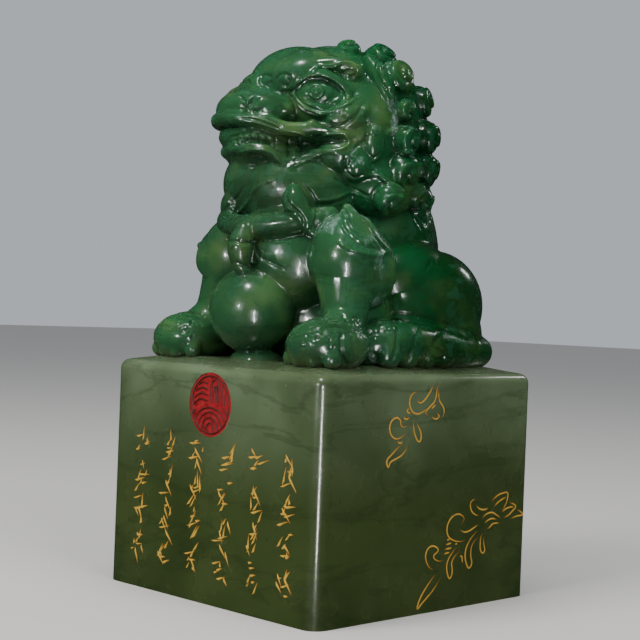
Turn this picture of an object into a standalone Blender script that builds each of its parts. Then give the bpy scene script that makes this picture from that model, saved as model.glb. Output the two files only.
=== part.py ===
"""A green jade seal: a square block with a guardian lion carved on its top, all one stone.

The block stands on z = 0 with its centre at x = y = 0. The lion sits on the block's top and
faces the inscription face, -Y. Its left side is +X, and its head is turned to its right.
"""
import math

import bmesh
import bpy
import numpy as np
from mathutils import Euler, Matrix, Vector

MM = 0.001

# Seal block
BLOCK_WIDTH = 72.0 * MM
BLOCK_HEIGHT = 55.2 * MM  # to the flat that the lion sits on
CORNER_RADIUS = 3.5 * MM  # the four upright corners
SHOULDER_WIDTH = 9.0 * MM  # the gentle slope around the top, inside its edge
SHOULDER_DROP = 1.8 * MM
TOP_ROUND = 2.0 * MM  # the edge around the top
FOOT_MARGIN = 4.5 * MM  # bare stone left between the lion and the block's sides

# Round mark sunk into the inscription face, on its middle line
MARK_DIAMETER = 14.6 * MM
MARK_DEPTH = 0.4 * MM
MARK_TOP_GAP = 3.0 * MM

# The lion is drawn in its own units, of which its footprint is 63 across
LION_SPREAD = 63.0
HEAD_AT = (1.0, -1.0, 61.0)
HEAD_TURN = -30.0  # degrees about the upright axis
BALL_RADIUS = 10.1
BALL_LIFT = 1.4  # the ball rests in a shallow fillet of stone
ROOT_DEPTH = 1.6  # how far the lion runs on into the block

# Fineness of the carved surface
GRAIN = 0.7 * MM
POLISH_PASSES = 3
LION_TRIANGLES = 8500

SIDES = (1, -1)


def lion_frame():
    """From lion units, with the origin on the block's top, to the seal's own frame."""
    unit = (BLOCK_WIDTH - 2 * FOOT_MARGIN) / LION_SPREAD
    return Matrix.Translation((0, 0, BLOCK_HEIGHT)) @ Matrix.Scale(unit, 4)


def head_frame():
    turn = Matrix.Rotation(math.radians(HEAD_TURN), 4, "Z")
    return lion_frame() @ Matrix.Translation(HEAD_AT) @ turn


def mirrored(frame, side):
    return frame @ Matrix.Diagonal((side, 1, 1, 1))


def unit_ball(subdivisions):
    ball = bmesh.new()
    bmesh.ops.create_icosphere(ball, subdivisions=subdivisions, radius=1)
    points = np.array([vert.co for vert in ball.verts])
    faces = np.array([[vert.index for vert in face.verts] for face in ball.faces])
    ball.free()
    return points, faces


class Clay:
    """Overlapping balls, gathered into one mesh that is given one skin afterwards."""

    def __init__(self):
        self.large, self.small = unit_ball(4), unit_ball(3)
        self.points, self.faces, self.count = [], [], 0

    def add(self, matrix, ball):
        points, faces = ball
        placed = np.array(matrix)
        self.points.append(points @ placed[:3, :3].T + placed[:3, 3])
        outward = faces if matrix.determinant() > 0 else faces[:, ::-1]
        self.faces.append(outward + self.count)
        self.count += len(points)

    def mesh(self, name):
        mesh = bpy.data.meshes.new(name)
        mesh.from_pydata(np.concatenate(self.points).tolist(), [], np.concatenate(self.faces).tolist())
        return mesh


def lump(clay, frame, at, radii, turn=(0, 0, 0)):
    """An ellipsoid with its three radii, turned by degrees about x, y and z."""
    turned = Euler([math.radians(angle) for angle in turn]).to_matrix().to_4x4()
    clay.add(frame @ Matrix.Translation(at) @ turned @ Matrix.Diagonal((*radii, 1)), clay.large)


def smooth_path(points, steps):
    """Points on a smooth curve through the given ones, with the radius blended along it."""
    through = [Vector(point) for point in points]
    ends = [through[0] * 2 - through[1], *through, through[-1] * 2 - through[-2]]
    path = []
    for before, start, end, after in zip(ends, ends[1:], ends[2:], ends[3:]):
        leaving = start + (end - before) / 6
        arriving = end - (after - start) / 6
        for step in range(steps):
            share = step / steps
            rest = 1 - share
            path.append(rest ** 3 * start + 3 * rest ** 2 * share * leaving
                        + 3 * rest * share ** 2 * arriving + share ** 3 * end)
    return path + [through[-1]]


def strand(clay, frame, points, steps=8):
    """A round limb or lock of hair through points of x, y, z and radius."""
    for point in smooth_path(points, steps):
        clay.add(frame @ Matrix.Translation(point[:3]) @ Matrix.Scale(point[3], 4), clay.small)


def snail_curl(clay, frame, centre, outward, radius):
    """A tight curl of the mane: a low dome with one lock wound round it to the middle."""
    seat = frame @ Matrix.Translation(centre) @ Vector(outward).to_track_quat("Z", "Y").to_matrix().to_4x4()
    lump(clay, seat, (0, 0, -0.25 * radius), (0.98 * radius, 0.98 * radius, 0.86 * radius))
    start, turns, beads = math.radians(250), 1.3, 26
    for bead in range(beads + 1):
        share = bead / beads
        angle = start - share * turns * math.tau
        reach = radius * (0.74 - 0.66 * share)
        at = (reach * math.cos(angle), reach * math.sin(angle), radius * (0.2 + 0.22 * share))
        clay.add(seat @ Matrix.Translation(at) @ Matrix.Scale(0.28 * radius, 4), clay.small)


def add_body(clay, lion):
    lump(clay, lion, (1, 9.5, 25.5), (19.5, 19.5, 25))  # back and flanks
    lump(clay, lion, (0, 12, 9), (21, 18.5, 14))  # rump
    lump(clay, lion, (0, -11, 24.5), (16, 15.5, 15.5))  # chest
    lump(clay, lion, (-4, -7, 39.5), (17.5, 17, 13.5))  # neck
    lump(clay, lion, (0, -4, 9), (17, 14, 13))  # belly, closed down to the block


def add_forelegs(clay, lion):
    for side in SIDES:
        leg = mirrored(lion, side)
        lump(clay, leg, (19.2, -13, 24), (8.8, 9, 10.5))  # shoulder
        strand(clay, leg, [(19, -13.4, 22.5, 7.8), (20.8, -14.8, 16, 6.2), (22.4, -16.8, 10.5, 4.9),
                           (23.6, -19.5, 6.5, 5.4)])
        lump(clay, leg, (20, -9.2, 21.6), (7.8, 8.4, 9.6))  # elbow
        lump(clay, leg, (24.4, -9.6, 4.4), (4.3, 4.8, 5))  # tuft behind the wrist
        lump(clay, leg, (16, -6.5, 8), (7.4, 9, 13))  # web that closes the gap behind the leg
        lump(clay, leg, (17.6, -1, 1), (8.8, 10.5, 6))  # foot of the web
        add_paw(clay, leg, (23.4, -22.6, 4.2))


def add_paw(clay, leg, at):
    """A domed forepaw with four low toes under its front."""
    x, y, z = at
    lump(clay, leg, (x, y, z), (8.8, 9.8, 6.4))
    for out in (-6.2, -2.1, 2.1, 6.2):
        front = y - 8 + 0.36 * abs(out)
        strand(clay, leg, [(x + out * 0.95, front + 2, z - 0.6, 2), (x + out, front + 1, z - 2.8, 2.1)], 5)


def add_haunches(clay, lion):
    for side in SIDES:
        leg = mirrored(lion, side)
        lump(clay, leg, (19.5, 16.2, 14), (10.6, 14.2, 13.4))  # thigh
        lump(clay, leg, (20.5, 17, 7), (9.8, 12.6, 11))
        lump(clay, leg, (19.4, 8, 11), (8.8, 9.6, 9.4))  # knee
        lump(clay, leg, (16.6, 10.5, 19.6), (9.6, 12.6, 10.4))  # flank running into the thigh
        lump(clay, leg, (21, 10, 6), (8.4, 12, 9))
        strand(clay, leg, [(25.6, 26, 3.4, 4), (27, 17, 3.6, 4.4), (26.4, 6, 4.4, 5), (26, -4, 5, 5.4),
                           (25.6, -8.4, 4.6, 4.6)])
        add_hind_toes(clay, leg)


def add_hind_toes(clay, leg):
    """Four toes side by side along the outside of the hind foot, lower towards the heel."""
    for toe in range(4):
        y = -8.4 + 6.1 * toe
        top = 8 - 0.8 * toe
        strand(clay, leg, [(24.8, y + 0.8, top, 3), (27.4, y + 0.2, top - 1.6, 3.2), (28.4, y, 2.4, 3.1)], 5)


def add_ball(clay, lion):
    lump(clay, lion, (-1.2, -23.2, BALL_RADIUS + BALL_LIFT), (BALL_RADIUS, BALL_RADIUS, BALL_RADIUS))
    lump(clay, lion, (-1, -21.6, 0), (6.4, 6, 2.6))  # fillet that the ball rests in


def add_collar(clay, lion):
    """The band round the neck, the bell on it and the flame-shaped locks beside it."""
    band = [(-20, -2, 38, 2.6), (-18, -14, 35, 2.8), (-11, -23, 31.8, 2.8), (0, -26, 30.5, 2.9),
            (10, -21.6, 31.8, 2.8), (15, -15, 33.6, 2.2)]
    bell = [(0.6, -28.2, 29.4, 2.4), (0.6, -29.4, 25.4, 2.9), (0.8, -28.8, 21, 1.9)]
    left_lock = [(19.6, -14.4, 35.2, 1.2), (22, -15.2, 32.2, 2.5), (24.6, -12.8, 28.4, 2.4),
                 (26.8, -7.6, 25.6, 0.8)]
    right_lock = [(-18.6, -16.6, 31, 1.6), (-22.4, -17.6, 27.4, 3), (-22.4, -19.4, 23, 3),
                  (-21, -20.6, 19.6, 1)]
    for line in (band, bell, left_lock, right_lock):
        strand(clay, lion, line)
    tassel = [(10.2, -22.2, 38.8, 1.9), (10.8, -22.2, 36, 2.9), (12.4, -20.9, 32.4, 2.2),
              (14, -19.8, 29.4, 0.9)]
    for side in SIDES:
        strand(clay, mirrored(lion, side), tassel)


def add_tail(clay, lion):
    """A flame-shaped tail lying up the back."""
    middle = [(0, 27, 3, 4.4), (0, 29.2, 11, 4), (1, 29.4, 19, 4.4), (0, 28, 28, 3.4), (-1, 26.4, 36, 1.4)]
    outer = [(2, 28.6, 8, 3.2), (6.5, 28.6, 14, 3.2), (7.6, 27.8, 21, 2.2), (5.6, 27.4, 26, 0.9)]
    strand(clay, lion, middle)
    for side in SIDES:
        strand(clay, mirrored(lion, side), outer)


def add_skull(clay, head):
    lump(clay, head, (0, -1, 1), (16, 16, 13.6))
    lump(clay, head, (0, -9.8, 4.8), (11, 11.6, 9), (12, 0, 0))  # forehead
    lump(clay, head, (0, -17.5, -2.4), (12.2, 11.4, 6.2))  # muzzle
    lump(clay, head, (0, -21.5, -0.4), (6.6, 5.6, 4.2))  # bridge of the nose
    lump(clay, head, (0, -18.4, 3), (6.4, 6, 4.4), (25, 0, 0))  # slope from the nose to the forehead
    lump(clay, head, (0, -17.6, -8.8), (10.8, 10.4, 4.4))  # closed teeth
    lump(clay, head, (0, -15.5, -12.6), (10.6, 11, 4.8))  # lower jaw
    lump(clay, head, (-0.5, -18, -19.6), (9, 8.4, 9))  # beard


def add_face(clay, head):
    upper_lip = [(0, -28.6, -5, 1.6), (6.4, -26.6, -5, 1.8), (10.6, -20.5, -5.6, 1.8),
                 (12.4, -14.5, -7.4, 1.7), (14.2, -7, -7, 1.6), (15.4, 0, -8, 1.9)]
    lower_lip = [(0, -26, -12.6, 1.5), (6, -24.6, -11.8, 1.5), (9.6, -19.5, -12.2, 1.5), (11, -14, -15, 1.5),
                 (13, -7, -13.2, 1.5), (15, -0.4, -10.8, 1.8)]
    brow = [(3.6, -18.6, 2.8, 1.7), (7.6, -14.8, 4.8, 1.9), (11, -10.3, 7, 2), (13.6, -4, 8, 2),
            (14.8, 0.6, 6.8, 1.9)]
    ear = [(12.4, 4.6, 9.6, 1.8), (14.6, 6.4, 6.4, 2.2), (16.2, 8, 2.6, 2), (16.6, 8.6, -1, 1)]
    upper_lid = [(11.4, -12.8, 1.4, 0.8), (13.2, -10.8, 4, 1.2), (14.6, -7.2, 5.2, 1.3), (15.2, -3.8, 4, 1.2),
                 (15.6, -1.2, 1.4, 0.9)]
    lower_lid = [(11.4, -12.8, 1, 0.8), (13.6, -10.6, -1.8, 1), (15, -6.8, -3, 1.1), (15.6, -3.2, -1.9, 1),
                 (15.6, -1.2, 1.2, 0.8)]
    for side in SIDES:
        half = mirrored(head, side)
        for line in (upper_lip, lower_lip, brow, ear, upper_lid, lower_lid):
            strand(clay, half, line)
        lump(clay, half, (7, -8.4, 5.6), (7.6, 9.6, 6.6), (8, 0, 0))  # temple above the brow
        lump(clay, half, (5, -21.8, -0.4), (4, 4.6, 3))  # wing of the nostril
        lump(clay, half, (13, 0.5, -3.5), (5.5, 7.5, 5.5))  # cheek
        lump(clay, half, (12, 0, -13), (5.5, 7.5, 5))  # hinge of the jaw
        lump(clay, half, (12, -7.4, 1.1), (3.9, 5.2, 3.5), (0, 0, -25))  # eyeball
        lump(clay, half, (16.4, 5.2, -9.4), (2.8, 2.8, 5))  # lobes behind the cheek
        lump(clay, half, (14.6, 2, -15.4), (3.6, 3.6, 3.8))


def add_mane(clay, head):
    """Snail curls from each ear round the back of the head, and a column of them down its middle."""
    lump(clay, head, (0, 5.4, -5.6), (18, 17.6, 19.4))
    # Each curl's place and radius, on the left side; the right side mirrors them
    beside = ((7, 1, 13.2, 3), (7.6, 9.2, 11.4, 4.5), (13.4, 11.8, 6.4, 4.6), (9.4, 19, 1.6, 4.2),
              (17, 13, -1.6, 2.8), (17, 13.8, -8.6, 3.6), (11.4, 20.4, -7.2, 4.2), (15.2, 13.8, -16, 4.5),
              (11, 20.8, -14.8, 3.9), (16.6, 9.8, -23, 3.7), (12.6, 17.8, -21.2, 3.2),
              (8, 19.4, -24, 3.2))
    behind = ((0, 13.6, 9.4, 4.2), (0, 20, 2.6, 4.6), (0, 22.8, -5.4, 4.7), (0, 23.6, -13.8, 4.7),
              (0, 22.6, -21.8, 4.5))
    for side in SIDES:
        half = mirrored(head, side)
        lump(clay, half, (10.6, 9, -18.6), (6.8, 9.6, 8.8))  # nape that the low curls lie on
        for x, y, z, radius in beside:
            snail_curl(clay, half, (x, y, z), (x, y - 4, (z + 5) * 0.6), radius)
    for x, y, z, radius in behind:
        snail_curl(clay, head, (x, y, z), (x, y - 4, (z + 5) * 0.6), radius)


def baked(source):
    """A new mesh of the object as its modifiers leave it; the object itself is removed."""
    bpy.context.view_layer.update()
    depsgraph = bpy.context.evaluated_depsgraph_get()
    mesh = bpy.data.meshes.new_from_object(source.evaluated_get(depsgraph))
    bpy.data.objects.remove(source)
    return mesh


def trim_below(mesh, height):
    """Cuts away all that lies under the height and closes the cut with a flat face."""
    solid = bmesh.new()
    solid.from_mesh(mesh)
    cut = bmesh.ops.bisect_plane(solid, geom=solid.verts[:] + solid.edges[:] + solid.faces[:],
                                 plane_co=(0, 0, height), plane_no=(0, 0, 1), clear_inner=True)
    rim = [item for item in cut["geom_cut"] if isinstance(item, bmesh.types.BMEdge)]
    bmesh.ops.triangle_fill(solid, edges=rim, use_beauty=True, normal=(0, 0, -1))
    bmesh.ops.triangulate(solid, faces=solid.faces[:])
    solid.to_mesh(mesh)
    solid.free()


def add_modifier(owner, kind, name, **values):
    modifier = owner.modifiers.new(name, kind)
    for key, value in values.items():
        setattr(modifier, key, value)
    return modifier


def make_lion(workshop):
    """All the lion's masses worked into one skin, polished and cut down to its triangles."""
    clay, lion, head = Clay(), lion_frame(), head_frame()
    for add in (add_body, add_forelegs, add_haunches, add_ball, add_collar, add_tail):
        add(clay, lion)
    for add in (add_skull, add_face, add_mane):
        add(clay, head)
    rough = bpy.data.objects.new("rough_lion", clay.mesh("rough_lion"))
    workshop.objects.link(rough)
    add_modifier(rough, "REMESH", "One skin", mode="VOXEL", voxel_size=GRAIN)
    add_modifier(rough, "SMOOTH", "Polish", factor=0.5, iterations=POLISH_PASSES)
    mesh = baked(rough)
    trim_below(mesh, BLOCK_HEIGHT - ROOT_DEPTH * MM)
    carved = bpy.data.objects.new("carved_lion", mesh)
    workshop.objects.link(carved)
    add_modifier(carved, "DECIMATE", "Fewer triangles", ratio=LION_TRIANGLES / len(mesh.polygons))
    return carved


def make_mark_cutter(workshop):
    """The disc that sinks the round mark into the inscription face."""
    mesh = bpy.data.meshes.new("mark_cutter")
    disc = bmesh.new()
    place = (Matrix.Translation((0, -BLOCK_WIDTH / 2, BLOCK_HEIGHT - MARK_TOP_GAP - MARK_DIAMETER / 2))
             @ Matrix.Rotation(math.radians(90), 4, "X"))
    bmesh.ops.create_cone(disc, cap_ends=True, segments=48, radius1=MARK_DIAMETER / 2,
                          radius2=MARK_DIAMETER / 2, depth=2 * MARK_DEPTH, matrix=place)
    disc.to_mesh(mesh)
    disc.free()
    cutter = bpy.data.objects.new("mark_cutter", mesh)
    workshop.objects.link(cutter)
    return cutter


def make_block():
    """The seal's block: rounded upright corners, and a top that slopes gently to a rounded edge."""
    mesh = bpy.data.meshes.new("lion_seal")
    block = bmesh.new()
    side_height = BLOCK_HEIGHT - SHOULDER_DROP
    size = Matrix.Diagonal((BLOCK_WIDTH, BLOCK_WIDTH, side_height, 1))
    bmesh.ops.create_cube(block, size=1, matrix=Matrix.Translation((0, 0, side_height / 2)) @ size)
    upright = [edge for edge in block.edges if edge.verts[0].co.z != edge.verts[1].co.z]
    bmesh.ops.bevel(block, geom=upright, offset=CORNER_RADIUS, segments=5, profile=0.5, affect="EDGES")
    top = max(block.faces, key=lambda face: face.calc_center_median().z)
    rim = list(top.edges)
    bmesh.ops.inset_region(block, faces=[top], thickness=0)
    narrower = 1 - 2 * SHOULDER_WIDTH / BLOCK_WIDTH
    bmesh.ops.scale(block, verts=top.verts, vec=(narrower, narrower, BLOCK_HEIGHT / side_height))
    bmesh.ops.bevel(block, geom=rim, offset=TOP_ROUND, segments=4, profile=0.5, affect="EDGES")
    block.to_mesh(mesh)
    block.free()
    return bpy.data.objects.new("lion_seal", mesh)


def jade():
    """Polished spinach-green nephrite."""
    material = bpy.data.materials.new("Green jade")
    material.use_nodes = True
    shader = material.node_tree.nodes["Principled BSDF"]
    shader.inputs["Base Color"].default_value = (0.045, 0.17, 0.075, 1)
    shader.inputs["Roughness"].default_value = 0.16
    shader.inputs["Metallic"].default_value = 0
    return material


def new_collection(name):
    collection = bpy.data.collections.new(name)
    bpy.context.scene.collection.children.link(collection)
    return collection


def main():
    for old in list(bpy.data.objects):
        bpy.data.objects.remove(old)
    finished, workshop = new_collection("Lion seal"), new_collection("Cutters")
    seal = make_block()
    finished.objects.link(seal)
    seal.data.materials.append(jade())
    lion, cutter = make_lion(workshop), make_mark_cutter(workshop)
    for tool in (lion, cutter):
        tool.hide_render = True
        tool.display_type = "WIRE"
    add_modifier(seal, "BOOLEAN", "Lion on top", operation="UNION", solver="EXACT", object=lion)
    add_modifier(seal, "BOOLEAN", "Sunk mark", operation="DIFFERENCE", solver="EXACT", object=cutter)
    seal.data.shade_smooth()
    seal.data.set_sharp_from_angle(angle=math.radians(50))


if __name__ == "__main__":
    main()
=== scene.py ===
import math
import random

import bmesh
import bpy
import numpy as np
from mathutils import Euler, Matrix, Vector
from mathutils.bvhtree import BVHTree
from mathutils.kdtree import KDTree


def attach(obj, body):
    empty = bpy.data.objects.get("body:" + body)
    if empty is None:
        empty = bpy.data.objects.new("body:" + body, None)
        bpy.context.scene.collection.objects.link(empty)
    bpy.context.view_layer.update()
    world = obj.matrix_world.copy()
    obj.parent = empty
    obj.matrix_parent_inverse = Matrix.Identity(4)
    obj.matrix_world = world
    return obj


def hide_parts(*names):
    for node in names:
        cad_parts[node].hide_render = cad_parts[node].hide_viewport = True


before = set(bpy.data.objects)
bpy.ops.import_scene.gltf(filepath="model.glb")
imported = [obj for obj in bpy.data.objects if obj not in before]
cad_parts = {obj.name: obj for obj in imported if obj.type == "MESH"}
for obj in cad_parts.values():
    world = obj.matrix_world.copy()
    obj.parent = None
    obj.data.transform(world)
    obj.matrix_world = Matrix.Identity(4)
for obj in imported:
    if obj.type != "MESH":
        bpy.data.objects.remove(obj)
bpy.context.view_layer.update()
mm = 0.001
print("Frame loaded")

# The camera, fitted to the block's edges in the photograph
camera = {
    "azimuth": 45.51,
    "pitch": 0.35,
    "roll": 2.22,
    "place": (248.88, -246.75, 66.96),
    "focal": 1443,  # in pixels of the photograph
    "picture": 640,  # pixels across and down
    "film": 36,
}


def cameraAxes():
    azimuth, pitch, roll = (math.radians(camera[key]) for key in ("azimuth", "pitch", "roll"))
    forward = Vector((-math.sin(azimuth) * math.cos(pitch), math.cos(azimuth) * math.cos(pitch),
                      -math.sin(pitch)))
    level = Vector((math.cos(azimuth), math.sin(azimuth), 0))
    upright = level.cross(forward)
    across = level * math.cos(roll) + upright * math.sin(roll)
    upward = upright * math.cos(roll) - level * math.sin(roll)
    return across, upward, forward


def pixelRay(x, y):
    # The direction in which the camera sees a pixel of the photograph
    across, upward, forward = cameraAxes()
    middle = camera["picture"] / 2
    return (forward * camera["focal"] + across * (x - middle) - upward * (y - middle)).normalized()


def makeCamera():
    across, upward, forward = cameraAxes()
    lens = bpy.data.cameras.new("Camera")
    lens.sensor_width = camera["film"]
    lens.lens = camera["film"] * camera["focal"] / camera["picture"]
    lens.clip_start = 0.01
    holder = bpy.data.objects.new("Camera", lens)
    turned = Matrix((across, upward, -forward)).transposed().to_4x4()
    holder.matrix_world = Matrix.Translation(Vector(camera["place"]) * mm) @ turned
    bpy.context.scene.collection.objects.link(holder)
    bpy.context.scene.camera = holder


makeCamera()
print("Camera placed")


def socket(sockets, name):
    return next(item for item in sockets if item.name == name and item.enabled)


def addNode(tree, kind, inputs=None, **settings):
    node = tree.nodes.new(kind)
    for key, value in settings.items():
        setattr(node, key, value)
    for key, value in (inputs or {}).items():
        target = node.inputs[key] if isinstance(key, int) else socket(node.inputs, key)
        if isinstance(value, bpy.types.NodeSocket):
            tree.links.new(value, target)
        else:
            target.default_value = value
    return node


def newMaterial(name):
    material = bpy.data.materials.new(name)
    material.use_nodes = True
    tree = material.node_tree
    return material, tree, tree.nodes["Principled BSDF"]


def objectPoint(tree):
    return addNode(tree, "ShaderNodeTexCoord").outputs["Object"]


def noise(tree, point, scale, detail=3.0, roughness=0.55, distortion=0.0):
    return addNode(tree, "ShaderNodeTexNoise", {
        "Vector": point, "Scale": scale, "Detail": detail, "Roughness": roughness,
        "Distortion": distortion}).outputs["Fac"]


def spread(tree, value, low, high, toLow=0.0, toHigh=1.0):
    return addNode(tree, "ShaderNodeMapRange", {
        "Value": value, "From Min": low, "From Max": high, "To Min": toLow, "To Max": toHigh},
        interpolation_type="SMOOTHSTEP").outputs["Result"]


def calc(tree, operation, first, second=0.5):
    return addNode(tree, "ShaderNodeMath", {0: first, 1: second}, operation=operation).outputs[0]


def blendColour(tree, share, first, second):
    return addNode(tree, "ShaderNodeMix", {"Factor": share, "A": first, "B": second},
                   data_type="RGBA").outputs["Result"]


def dress(tree, shader, tone, roughness, height, strength, depth):
    # Gives the shader its colour, its roughness and a fine relief, whose depth is in mm
    bump = addNode(tree, "ShaderNodeBump", {"Strength": strength, "Distance": depth * mm, "Height": height})
    for source, name in ((tone, "Base Color"), (roughness, "Roughness"), (bump.outputs["Normal"], "Normal")):
        tree.links.new(source, shader.inputs[name])


def colour(red, green, blue):
    # Colours are written as a screen shows them, from 0 to 255
    return tuple(((part / 255 + 0.055) / 1.055) ** 2.4 for part in (red, green, blue)) + (1,)


jadeLook = {
    "lionDeep": (2, 54, 24),
    "lionMiddle": (16, 88, 46),
    "lionLight": (94, 126, 58),
    "frontTint": (98, 116, 90),  # painted light: the lion's front is made paler and greyer, as if lit from the front
    # painted shade: the haunches are made darker, as if in shadow
    "backTint": (0, 44, 2),
    "cutTint": (30, 92, 68),  # bluish where the tool has left the stone unpolished
    "frostTint": (140, 160, 154),
    "blockDeep": (46, 60, 26),
    "blockMiddle": (60, 74, 36),
    "blockLight": (78, 90, 46),
    # pale patches near the top, partly painted light from above
    "palePatchAndTopLight": (116, 134, 104),
    "vein": (26, 44, 16),
    "patchScale": 30.0,
    "fleckScale": 520.0,
    "pitScale": 1700,
    "lionMottle": 0.6,  # the most that the light tone shows over the patches
    "blockMottle": 0.3,
    "frontFade": (10, -24, 0.15),  # mm along Y where the painted light on the front starts and is full, and its strength there; the painted shade on the back below likewise
    "backFade": (-8, 14, 0.7),
    "seamHeight": 55.6,  # mm, where the block's colour gives way to the lion's
    "seamFade": (-1.2, 0.8),  # mm from the seam
    "paleFade": (-34, -1.5),  # mm from the seam, where the block turns paler towards its top: pale patches, partly painted light from above
    "veinTurn": (0.5, 0.35, 0.6),
    "veinStretch": (14, 14, 60),
    "veinWidth": 0.03,
    "veinStrength": 0.3,
    "fleckStrength": 0.4,
    "cutStrength": 0.4,
    "frostStrength": 0.75,
    "glow": 0.35,
    "glowColour": (0.3, 1.0, 0.4),
    "glowReach": 2.0,  # mm that light runs on under the surface
    "gloss": 0.2,
    "coat": 0.45,
    "coatGloss": 0.06,
}


def makeJade():
    # Spinach-green nephrite: cloudy patches, dark drifts and flecks under a high polish
    material, tree, shader = newMaterial("Green jade")
    point = objectPoint(tree)
    place = addNode(tree, "ShaderNodeSeparateXYZ", {0: point}).outputs
    clouds = noise(tree, point, jadeLook["patchScale"], 3, 0.5, 0.5)
    mottle = noise(tree, point, jadeLook["patchScale"] * 3, 2, 0.5)
    flecks = noise(tree, point, jadeLook["fleckScale"], 2, 0.5)

    def tint(share, tone, word):
        return blendColour(tree, share, tone, colour(*jadeLook[word]))

    tones = {}
    for part in ("lion", "block"):
        darker = tint(spread(tree, clouds, 0.26, 0.66), colour(*jadeLook[part + "Deep"]), part + "Middle")
        lighter = spread(tree, mottle, 0.44, 0.8, 0, jadeLook[part + "Mottle"])
        tones[part] = tint(lighter, darker, part + "Light")
    # Painted light on the lion's front and painted shade on its haunches, each fading in along Y
    for end in ("front", "back"):
        none, full, most = jadeLook[end + "Fade"]
        share = spread(tree, place["Y"], none * mm, full * mm, 0, most)
        tones["lion"] = tint(share, tones["lion"], end + "Tint")
    seam = jadeLook["seamHeight"] * mm
    isLion, nearTop = (spread(tree, place["Z"], seam + low * mm, seam + high * mm)
                       for low, high in (jadeLook["seamFade"], jadeLook["paleFade"]))
    # Paler patches towards the block's top: partly the stone's own, partly painted light from above
    patchAndTopLightShare = calc(tree, "MULTIPLY", nearTop, spread(tree, clouds, 0.32, 0.7, 0.3, 0.75))
    blockTone = tint(patchAndTopLightShare, tones["block"], "palePatchAndTopLight")
    tone = blendColour(tree, isLion, blockTone, tones["lion"])
    stretched = addNode(tree, "ShaderNodeMapping", {
        "Vector": point, "Rotation": jadeLook["veinTurn"], "Scale": jadeLook["veinStretch"]})
    drift = noise(tree, stretched.outputs["Vector"], 1.0, 6, 0.6, 0.8)
    line = calc(tree, "ABSOLUTE", calc(tree, "SUBTRACT", drift, 0.5))
    tone = tint(spread(tree, line, 0.0, jadeLook["veinWidth"], jadeLook["veinStrength"], 0), tone, "vein")
    tone = tint(spread(tree, flecks, 0.68, 0.78, 0, jadeLook["fleckStrength"]), tone, "vein")
    cut, frost = (addNode(tree, "ShaderNodeAttribute", attribute_name=name).outputs["Fac"]
                  for name in ("cut", "frost"))
    pits = noise(tree, point, jadeLook["pitScale"], 3, 0.6)
    tone = tint(calc(tree, "MULTIPLY", cut, jadeLook["cutStrength"]), tone, "cutTint")
    sparkle = calc(tree, "MULTIPLY", frost, spread(tree, pits, 0.36, 0.64, 0.1, 1))
    tone = tint(calc(tree, "MULTIPLY", sparkle, jadeLook["frostStrength"]), tone, "frostTint")
    tree.links.new(tone, shader.inputs["Base Color"])
    gloss = jadeLook["gloss"]
    polish = spread(tree, noise(tree, point, 90, 3), 0.35, 0.7, gloss, gloss + 0.1)
    rough = calc(tree, "ADD", polish, calc(tree, "MULTIPLY", cut, 0.15))
    tree.links.new(rough, shader.inputs["Roughness"])
    ripple = noise(tree, point, 160, 2)
    soft = addNode(tree, "ShaderNodeBump", {"Strength": 0.2, "Distance": 0.3 * mm, "Height": ripple})
    fine = addNode(tree, "ShaderNodeBump", {
        "Strength": spread(tree, frost, 0.1, 0.8, 0.08, 0.9), "Distance": 0.12 * mm, "Height": pits,
        "Normal": soft.outputs["Normal"]})
    tree.links.new(fine.outputs["Normal"], shader.inputs["Normal"])
    for name, value in (
            ("Subsurface Weight", jadeLook["glow"]), ("Subsurface Radius", jadeLook["glowColour"]),
            ("Subsurface Scale", jadeLook["glowReach"] * mm), ("Coat Weight", jadeLook["coat"]),
            ("Coat Roughness", jadeLook["coatGloss"])):
        shader.inputs[name].default_value = value
    return material


giltLook = {
    # painted highlight along the top of each gilt line
    "gold": (252, 202, 84),
    # painted shade down the sides of each gilt line, partly worn gold
    "rim": (176, 108, 36),
    "worn": (132, 104, 46),
    "rise": 0.1,  # mm that the gold stands above the face
    "metal": 0.4,
}


def makeGilt():
    # Gold left in cut lines: a painted highlight along the middle, brown at its edges as painted shade and
    # partly wear, rubbed thin in places
    material, tree, shader = newMaterial("Gilding")
    point = objectPoint(tree)
    parts = addNode(tree, "ShaderNodeSeparateXYZ", {0: point})
    outermost = calc(tree, "MAXIMUM", calc(tree, "ABSOLUTE", parts.outputs["X"]),
                     calc(tree, "ABSOLUTE", parts.outputs["Y"]))
    face = block["width"] / 2 * mm
    # Painted highlight and shade: gold towards the line's top, brown down its sides, partly as wear
    paintedHighlightShare = spread(tree, outermost, face + giltLook["rise"] * 0.2 * mm, face + giltLook["rise"] * 0.7 * mm)
    tone = blendColour(tree, paintedHighlightShare, colour(*giltLook["rim"]), colour(*giltLook["gold"]))
    wear = spread(tree, noise(tree, point, 900, 3), 0.58, 0.72, 0, 0.6)
    tone = blendColour(tree, wear, tone, colour(*giltLook["worn"]))
    grit = noise(tree, point, 2600, 2)
    dress(tree, shader, tone, spread(tree, grit, 0.3, 0.7, 0.28, 0.5), grit, 0.3, 0.04)
    shader.inputs["Metallic"].default_value = giltLook["metal"]
    return material


markLook = {
    "red": (156, 26, 32),
    "highRed": (184, 62, 60),
    "deepRed": (98, 14, 20),
    "line": (58, 44, 28),
}


def makeCinnabar():
    # Red paste pressed into the round cut, uneven and half dull
    material, tree, shader = newMaterial("Red paste")
    point = objectPoint(tree)
    uneven = noise(tree, point, 700, 4, 0.65)
    tone = blendColour(tree, spread(tree, uneven, 0.3, 0.5), colour(*markLook["deepRed"]),
                       colour(*markLook["red"]))
    tone = blendColour(tree, spread(tree, uneven, 0.55, 0.75, 0, 0.7), tone, colour(*markLook["highRed"]))
    dress(tree, shader, tone, spread(tree, uneven, 0.3, 0.7, 0.3, 0.55), uneven, 0.5, 0.12)
    return material


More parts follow.
